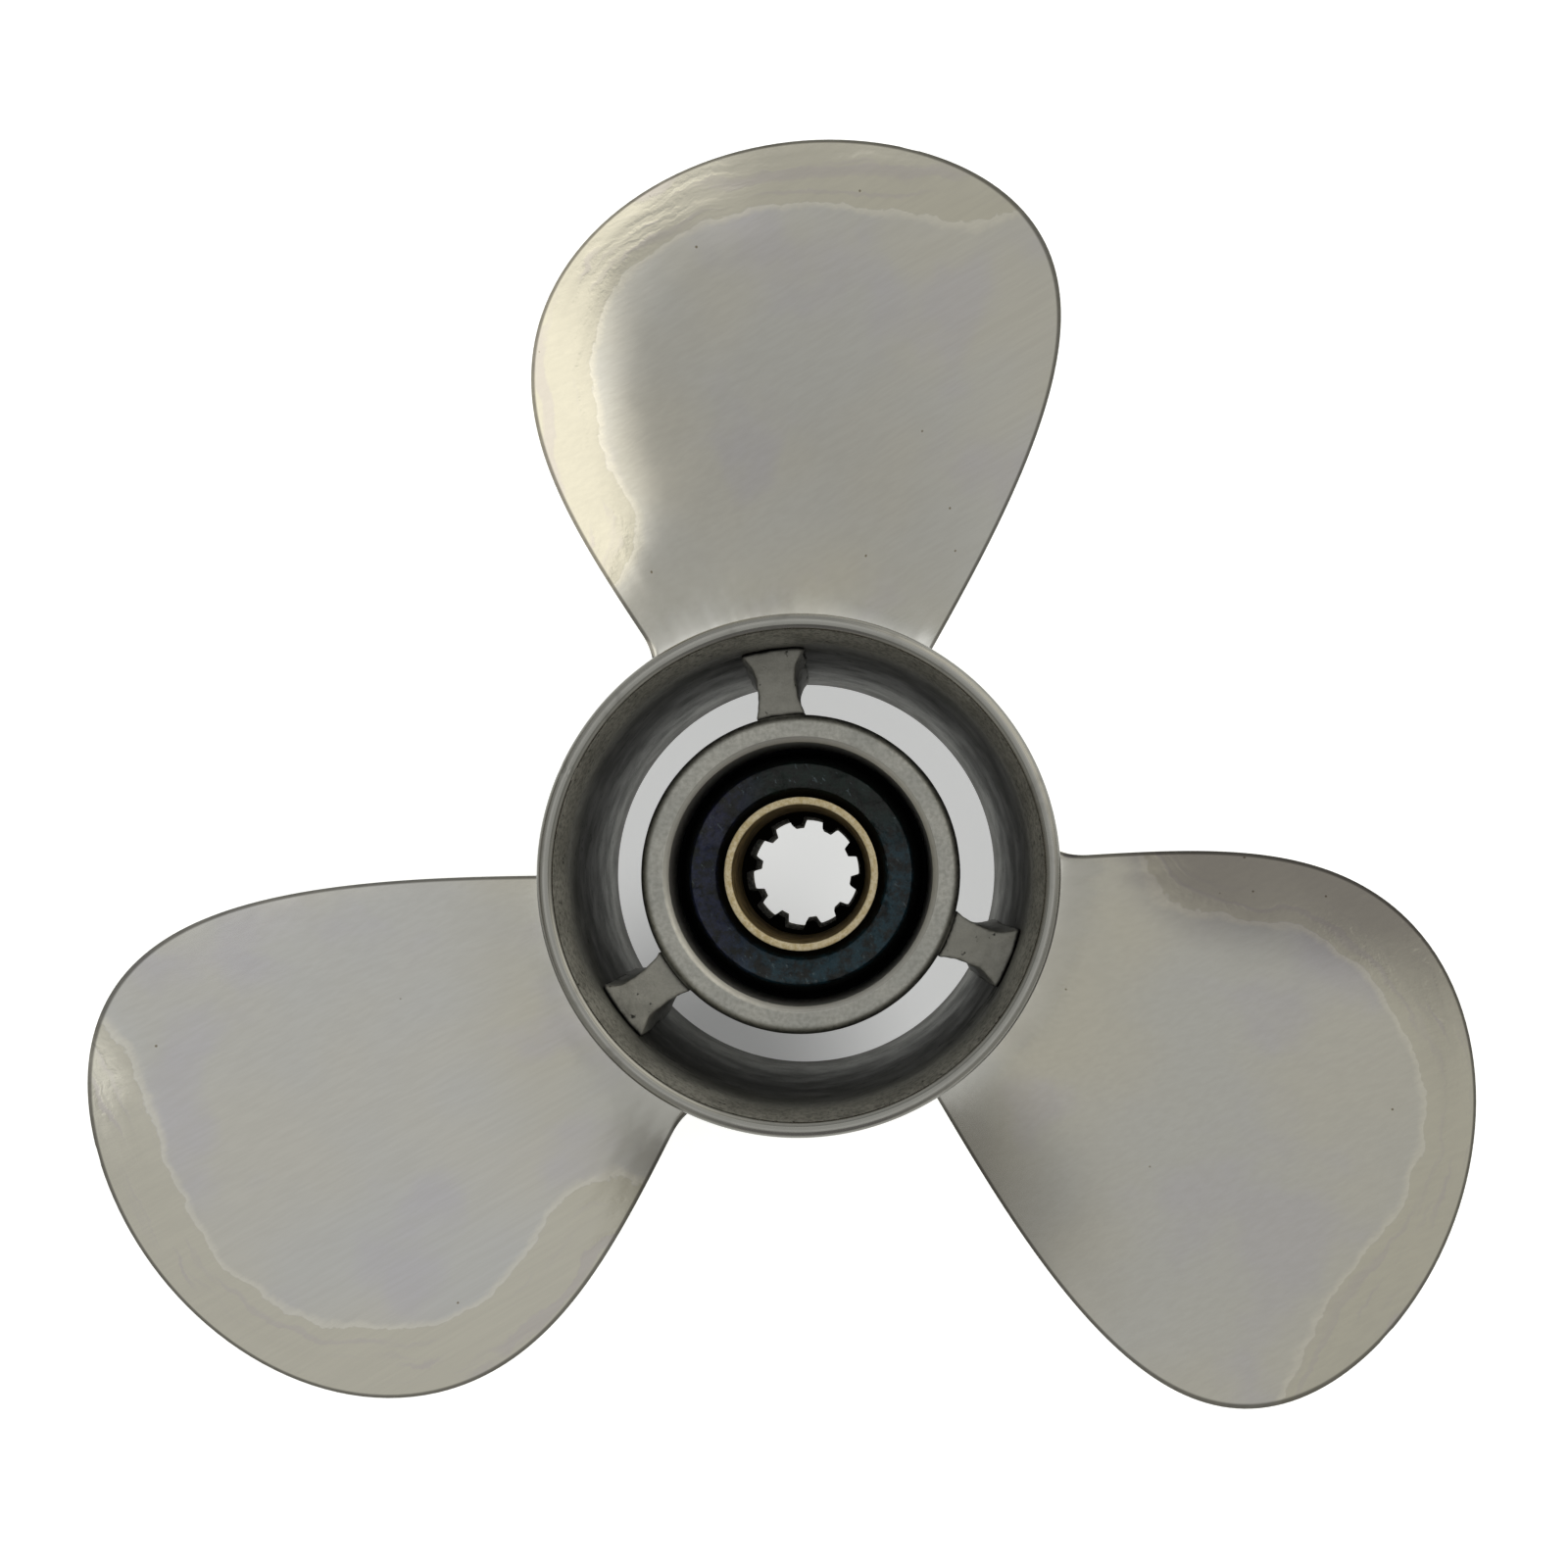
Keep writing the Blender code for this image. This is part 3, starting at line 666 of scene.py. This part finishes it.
low, high = HUB_Z
hub_profile = [
    (HUB_R - 0.9, low),
    (HUB_BORE_R + 0.3, low),
    (HUB_BORE_R, low + 0.3),
    *along((HUB_BORE_R, low + 1), (HUB_BORE_R, high - HUB_CHAMFER), 30),
    (HUB_BORE_R, high - HUB_CHAMFER),
    (HUB_BORE_R + HUB_CHAMFER - 0.06, high - 0.06),
    *along((HUB_BORE_R + HUB_CHAMFER + 0.06, high), (HUB_R - HUB_ROUND, high), 8),
    *arc((HUB_R - HUB_ROUND, high - HUB_ROUND), HUB_ROUND, 90, 0, 10),
    *along((HUB_R, high - HUB_ROUND - 1), (HUB_R, low + 0.9), 40),
    (HUB_R, low + 0.9),
]
hub_mesh = turned("inner_hub", hub_profile)


def rounded_edge(point):
    """0 on the machined face, 1 on the hub's cast outside."""
    return smooth(24.6 * MM, 25.8 * MM, math.hypot(point.x, point.y))


roughen(hub_mesh, 3.0, 0.02, rounded_edge)
fit_piece(
    "hub_tube", hub_mesh, [blasted_machined_stainless()], "wheel", ["inner_hub"]
)

# ---------------------------------------------------------------------------------------------
# Rubber bush. Moulded round the sleeve and pressed into the inner hub. It drives the wheel by
# friction, gives a little under load, and slips before a gear breaks. Its end is domed.

BUSH_Z = (68.0, 12.0)
BUSH_CREST = 8.0
SLEEVE_R = 12.6
BUSH_R = HUB_BORE_R - GAP
BUSH_BORE_R = SLEEVE_R + GAP
VALLEY = 17.0  # how far the dome falls from its crest to the hub


def moulded_rubber():
    """Nitrile rubber, moulded, then scuffed by the press that pushed it in.

    The eye gets a near-black with a cold bloom, teal on one side and violet on the other. Pale
    scuffs lie on the crest of the dome, and the deep valley outside it stays black.
    """
    made, tree, shader = finish_named("moulded_nitrile_rubber")
    place, height, radius = shaft_place(tree)
    side = node(tree, "SeparateXYZ", {0: place}).outputs
    blotch = cloud(tree, place, 8.0, 4.0, 0.6)
    body = mix_colour(tree, ramp(tree, blotch, 0.35, 0.65), linear("#0a0d0e"), linear("#0f1413"))
    teal = mix_colour(tree, ramp(tree, side[1], 2 * MM, 11 * MM), linear("#17343f"), linear("#10201c"))
    violet = ramp(tree, side[0], -14 * MM, -4 * MM, 0.8, 0.0)
    bloom = mix_colour(tree, violet, teal, linear("#20203e"))
    crest = ramp(tree, height, 73.4 * MM, 75.2 * MM)
    dusty = ramp(tree, cloud(tree, place, 2.6, 6.0, 0.75), 0.4, 0.6, 0.0, 1.0)
    bloomed = node(tree, "Math", {0: crest, 1: dusty}, operation="MULTIPLY").outputs[0]
    coated = mix_colour(tree, bloomed, body, bloom)
    slant = {"Vector": place, "Rotation": (0.0, 0.0, math.radians(35)), "Scale": (1.0, 3.0, 1.0)}
    dragged = node(tree, "Mapping", slant, vector_type="TEXTURE").outputs[0]
    scuffs = ramp(tree, cloud(tree, dragged, 0.8, 4.0, 0.75), 0.6, 0.72, 0.0, 0.75)
    bright = node(tree, "Math", {0: crest, 1: scuffs}, operation="MULTIPLY").outputs[0]
    tree.links.new(mix_colour(tree, bright, coated, linear("#5d6c72")), shader.inputs["Base Color"])
    shader.inputs["IOR"].default_value = 1.5
    valley = ramp(tree, radius, 18.6 * MM, 19.9 * MM)
    sheen = ramp(tree, blotch, 0.3, 0.7, 0.3, 0.48)
    dull = node(tree, "Math", {0: sheen, 1: valley}, operation="MAXIMUM").outputs[0]
    tree.links.new(dull, shader.inputs["Roughness"])
    shine = ramp(tree, radius, 18.6 * MM, 19.9 * MM, 0.3, 0.06)
    tree.links.new(shine, shader.inputs["Specular IOR Level"])
    skin = cloud(tree, place, 1.8, 5.0, 0.7)
    bump = node(tree, "Bump", {"Height": skin, "Strength": 0.9, "Distance": 0.5 * MM})
    tree.links.new(bump.outputs[0], shader.inputs["Normal"])
    return made


def dome_height(radius):
    """Height of the domed end: steep beside the sleeve, flat on the crest, a deep valley outside."""
    rise = BUSH_CREST * (0.3 + 0.7 * smooth(SLEEVE_R - 0.2, SLEEVE_R + 1.7, radius))
    return rise - VALLEY * smooth(18.1, 21.0, radius)


def bush_mesh():
    """The rear dome has radial creases where the rubber has been squeezed."""
    rear, front = BUSH_Z
    steps = 44
    radii = [BUSH_R + (BUSH_BORE_R - BUSH_R) * i / steps for i in range(steps + 1)]
    rear_side = [(r, rear - 0.05 + dome_height(r)) for r in radii]
    front_side = [(r, front + 0.4 + 1.2 * smooth(BUSH_R - 1.5, BUSH_R, r)) for r in radii]
    mesh = turned("rubber_bush", [*rear_side, *reversed(front_side)], 360)
    for vert in mesh.vertices:
        if vert.co.z < (rear - VALLEY / 2) * MM:
            continue
        radius = math.hypot(vert.co.x, vert.co.y) / MM
        turn = math.atan2(vert.co.y, vert.co.x)
        ring = Vector((math.cos(turn) * 6, math.sin(turn) * 6, radius / 5))
        crease = max(0.0, noise.noise(ring) - 0.3) * 1.4
        lumps = noise.fractal(vert.co * per(4.5), 1.0, 2.0, 3)
        vert.co.z += (0.42 * lumps - 0.6 * crease - 0.36) * MM
    mesh.update()
    return mesh


fit_piece("bush", bush_mesh(), [moulded_rubber()], "bush", ["rubber_bush"])

# ---------------------------------------------------------------------------------------------
# Splined sleeve. A bronze tube broached with ten splines that slide on the propeller shaft. Its
# rear end is counterbored for the nut's washer. It is turned, and greased when it is fitted.

SLEEVE_Z = (4.0, 82.0)
COUNTERBORE_R = 11.3
COUNTERBORE_FLOOR_R = 10.7
COUNTERBORE_DEPTH = 35.0
SPLINE_TEETH = 10
SPLINE_TIP_R = 8.4
SPLINE_ROOT_R = 9.9
SPLINE_PHASE = math.radians(26.0)


def turned_bronze():
    """Leaded bronze, turned, with the end face rubbed on abrasive paper.

    The eye gets a pale gold ring with fine sandy grain. Old grease darkens the counterbore to
    olive brown, the splines' end faces are black, and the flanks show grey metal through the grease.
    """
    made, tree, shader = finish_named("turned_bronze")
    place, height, _ = shaft_place(tree)
    # The paper's scratches are 0.1 mm wide and the broach's scores 0.2 mm. They are drawn at 0.6
    # and 0.7 mm.
    sand = cloud(tree, place, 0.6, 3.0, 0.75)
    face = mix_colour(tree, ramp(tree, sand, 0.35, 0.65), linear("#968763"), linear("#b6ab90"))
    blotch = cloud(tree, place, 3.5, 4.0, 0.6)
    grease = mix_colour(tree, ramp(tree, blotch, 0.35, 0.65), linear("#7c6a48"), linear("#5a4e34"))
    inside = ramp(tree, height, 81.2 * MM, 81.8 * MM, 1.0, 0.0)
    upper = mix_colour(tree, inside, face, grease)
    strokes = node(tree, "Mapping", {"Vector": place, "Scale": (1.0, 1.0, 0.06)}).outputs[0]
    scores = cloud(tree, strokes, 0.7, 4.0, 0.7)
    flank = mix_colour(tree, ramp(tree, scores, 0.35, 0.65), linear("#4a4841"), linear("#8f8b7f"))
    floor = (SLEEVE_Z[1] - COUNTERBORE_DEPTH) * MM
    below = ramp(tree, height, floor - 0.6 * MM, floor - 0.1 * MM, 1.0, 0.0)
    black_face = ramp(tree, height, floor - 0.2 * MM, floor + 3.0 * MM, 1.0, 0.0)
    lower = mix_colour(tree, below, linear("#0b0b09"), flank)
    tree.links.new(mix_colour(tree, black_face, upper, lower), shader.inputs["Base Color"])
    dull = ramp(tree, sand, 0.3, 0.7, 0.34, 0.5)
    greasy = node(tree, "Math", {0: dull, 1: inside}, operation="MAXIMUM").outputs[0]
    tree.links.new(greasy, shader.inputs["Roughness"])
    tree.links.new(ramp(tree, inside, 0.0, 1.0, 1.0, 0.1), shader.inputs["Metallic"])
    tree.links.new(ramp(tree, inside, 0.0, 1.0, 0.5, 0.04), shader.inputs["Specular IOR Level"])
    bump = node(tree, "Bump", {"Height": sand, "Strength": 0.35, "Distance": 0.05 * MM})
    tree.links.new(bump.outputs[0], shader.inputs["Normal"])
    return made


def spline_radius(share):
    """Radius of the splined bore at this share of the pitch from a tooth's middle, 0 to 0.5."""
    return SPLINE_TIP_R + (SPLINE_ROOT_R - SPLINE_TIP_R) * smooth(0.125, 0.255, share)


def sleeve_mesh():
    """Rings of equal point counts, bridged one to the next, from the front face round to the rear."""
    half = [0.0, 0.06, 0.11, 0.135, 0.155, 0.175, 0.195, 0.215, 0.235, 0.255, 0.28, 0.34, 0.42]
    shares = [-share for share in reversed(half[1:])] + half + [0.5]
    pitch = 2 * math.pi / SPLINE_TEETH
    turns = [SPLINE_PHASE + (tooth + share) * pitch for tooth in range(SPLINE_TEETH) for share in shares]
    splined = [spline_radius(abs(share)) for _ in range(SPLINE_TEETH) for share in shares]
    low, high = SLEEVE_Z
    floor = high - COUNTERBORE_DEPTH
    edge = 0.25
    spline_heights = [low + 0.6, *[low + 4 * i for i in range(1, 11)], floor - edge]
    spline = [(splined, z) for z in spline_heights]
    entry = [max(r, SPLINE_ROOT_R - 0.5) for r in splined]
    rings = [
        ([SLEEVE_R - edge] * len(turns), low),
        (entry, low),
        *spline,
        ([r + edge for r in splined], floor),
        ([max(r + 0.6, SPLINE_ROOT_R + 0.45) for r in splined], floor),
        ([COUNTERBORE_FLOOR_R] * len(turns), floor),
    ]
    wall = along((COUNTERBORE_FLOOR_R, floor + 0.4), (COUNTERBORE_R, high - edge), 12)
    wall += [(COUNTERBORE_R, high - edge), (COUNTERBORE_R + 0.08, high - 0.07)]
    rim = [(COUNTERBORE_R + edge, high), (SLEEVE_R - edge, high), (SLEEVE_R - 0.07, high - 0.07)]
    outside = [(SLEEVE_R, high - edge), (SLEEVE_R, low + edge)]
    rings += [([r] * len(turns), z) for r, z in wall + rim + outside]
    bm = bmesh.new()
    loops = []
    for radii, z in rings:
        points = [(r * math.cos(a) * MM, r * math.sin(a) * MM, z * MM) for r, a in zip(radii, turns)]
        loops.append([bm.verts.new(point) for point in points])
    for first, second in zip(loops, loops[1:] + loops[:1]):
        for i in range(len(turns)):
            bm.faces.new((first[i - 1], first[i], second[i], second[i - 1]))
    return mesh_of(bm, "splined_sleeve")


fit_piece("sleeve", sleeve_mesh(), [turned_bronze()], "sleeve", ["splined_sleeve"])

# ---------------------------------------------------------------------------------------------
# Floor, light and camera. A pale matt table, seen from over the propeller's rear end, under one
# large softbox, in a pale room with daylight from a window on the right.


def pale_table():
    """White laminate, matt, with a glow of painted light that reaches further towards the window.

    The eye gets an even white round the wheel. Inside the barrel painted shade cuts the glow, most
    of all on the side away from the window, and painted light brightens the middle of the bore.
    Beyond the glow's reach the table falls to a pale grey.
    """
    made, tree, shader = finish_named("white_laminate")
    place, _, radius = shaft_place(tree)
    tone = cloud(tree, place, 60.0, 2.0)
    tree.links.new(mix_colour(tree, tone, linear("#dededc"), linear("#e2e2e1")), shader.inputs["Base Color"])
    shader.inputs["Roughness"].default_value = 0.7
    shader.inputs["Emission Color"].default_value = linear("#f4f5f4")
    # Painted shadow of the barrel on the table inside it, and painted light in the middle of the bore.
    shade_centre = (-18 * MM, -38 * MM, -0.2 * MM)
    to_shade = {0: place, 1: shade_centre}
    apart = node(tree, "VectorMath", to_shade, operation="DISTANCE").outputs["Value"]
    shade = ramp(tree, apart, 8 * MM, 46 * MM, 0.3, 0.78)
    lit_bore = ramp(tree, radius, 10 * MM, 20 * MM, 0.2, 0.0)
    inside = node(tree, "Math", {0: shade, 1: lit_bore}, operation="ADD").outputs[0]
    open_table = ramp(tree, radius, 39 * MM, 48 * MM)
    near = node(tree, "Math", {0: inside, 1: open_table}, operation="MAXIMUM").outputs[0]
    # The painted glow reaches further towards the window than away from it.
    painted_glow_centre = (0.22, 0.06, -0.2 * MM)
    out = node(tree, "VectorMath", {0: place, 1: painted_glow_centre}, operation="DISTANCE").outputs["Value"]
    painted_glow_end = ramp(tree, out, 0.46, 0.6, 0.72, 0.0)
    glow = node(tree, "Math", {0: near, 1: painted_glow_end}, operation="MULTIPLY").outputs[0]
    tree.links.new(glow, shader.inputs["Emission Strength"])
    return made


floor_bm = bmesh.new()
bmesh.ops.create_grid(floor_bm, x_segments=2, y_segments=2, size=6.0)
floor_mesh = bpy.data.meshes.new("table")
floor_bm.to_mesh(floor_mesh)
floor_bm.free()
floor_mesh.materials.append(pale_table())
table = bpy.data.objects.new("table", floor_mesh)
table.location.z = -0.2 * MM
bpy.context.scene.collection.objects.link(table)


def towards(bearing_deg, rise_deg):
    """A direction, from its bearing round the shaft and its rise above the table."""
    a, e = math.radians(bearing_deg), math.radians(rise_deg)
    return Vector((math.cos(a) * math.cos(e), math.sin(a) * math.cos(e), math.sin(e)))


def lobe(tree, bearing, middle, inner_deg, outer_deg):
    """1 within inner_deg of the direction middle, falling smoothly to 0 at outer_deg."""
    near = node(tree, "VectorMath", {0: bearing, 1: middle}, operation="DOT_PRODUCT").outputs["Value"]
    return ramp(tree, near, math.cos(math.radians(outer_deg)), math.cos(math.radians(inner_deg)))


def pale_room():
    """White walls and ceiling, a window on the right, and a shelf, a door and a chair.

    The eye gets them as soft patches of tone in the blades, and the window as a bright band.
    """
    room = bpy.data.worlds.new("pale_room")
    room.use_nodes = True
    tree = room.node_tree
    bearing = node(tree, "TexCoord").outputs["Generated"]
    parts = node(tree, "SeparateXYZ", {0: bearing}).outputs
    walls = mix_colour(tree, ramp(tree, parts[1], -0.5, 0.8), linear("#cbcac4"), linear("#d7d7d5"))
    far_wall = mix_colour(tree, ramp(tree, parts[0], 0.6, 0.9), walls, linear("#c0bfba"))
    low = mix_colour(tree, ramp(tree, parts[2], 0.02, 0.35, 0.5, 0.0), far_wall, linear("#cbc8bb"))
    ceiling = mix_colour(tree, ramp(tree, parts[2], 0.72, 0.95), low, linear("#bdbdbb"))
    shelf = ramp(tree, parts[0], -0.95, -0.78, 1.0, 0.0)
    shelved = mix_colour(tree, shelf, ceiling, linear("#8f8c84"))
    door = lobe(tree, bearing, towards(-86, 26), 21, 28)
    doored = mix_colour(tree, door, shelved, linear("#969393"))
    chair = lobe(tree, bearing, towards(152, -2), 8, 22)
    seated = mix_colour(tree, chair, doored, linear("#8f8d86"))
    window = lobe(tree, bearing, towards(40, 30), 25.5, 31.5)
    daylight = [1.6 * c for c in linear("#fffbf0")]
    tree.links.new(mix_colour(tree, window, seated, daylight), tree.nodes["Background"].inputs["Color"])
    return room


bpy.context.scene.world = pale_room()


def softbox(name, bearing_deg, rise_deg, distance, size, radiance, colour):
    """A rectangular area light that faces the propeller. Its radiance is that of its surface."""
    data = bpy.data.lights.new(name, "AREA")
    data.shape = "RECTANGLE"
    data.size, data.size_y = size
    data.energy = radiance * math.pi * size[0] * size[1]
    data.color = linear(colour)[:3]
    light = bpy.data.objects.new(name, data)
    way = towards(bearing_deg, rise_deg)
    light.location = way * distance + Vector((0, 0, 0.05))
    light.rotation_euler = way.to_track_quat("Z", "Y").to_euler()
    bpy.context.scene.collection.objects.link(light)


softbox("overhead_softbox", 60, 88, 1.5, (1.7, 1.7), 0.55, "#ffffff")

camera_data = bpy.data.cameras.new("camera")
camera_data.lens = 68.315
camera_data.sensor_width = 36.0
camera_data.shift_x = -0.12096
camera_data.shift_y = -0.07614
camera = bpy.data.objects.new("camera", camera_data)
sight = Vector((0.045, 0.067, -1.0)).normalized()
right = Vector((1, 0, 0))
right = (right - sight * right.dot(sight)).normalized()
up = right.cross(sight)
turned_to = Matrix((right, up, -sight)).transposed().to_4x4()
camera.matrix_world = Matrix.Translation((0.00635, 0.00155, 0.570)) @ turned_to
bpy.context.scene.collection.objects.link(camera)
bpy.context.scene.camera = camera
bpy.context.scene.view_settings.view_transform = "Standard"
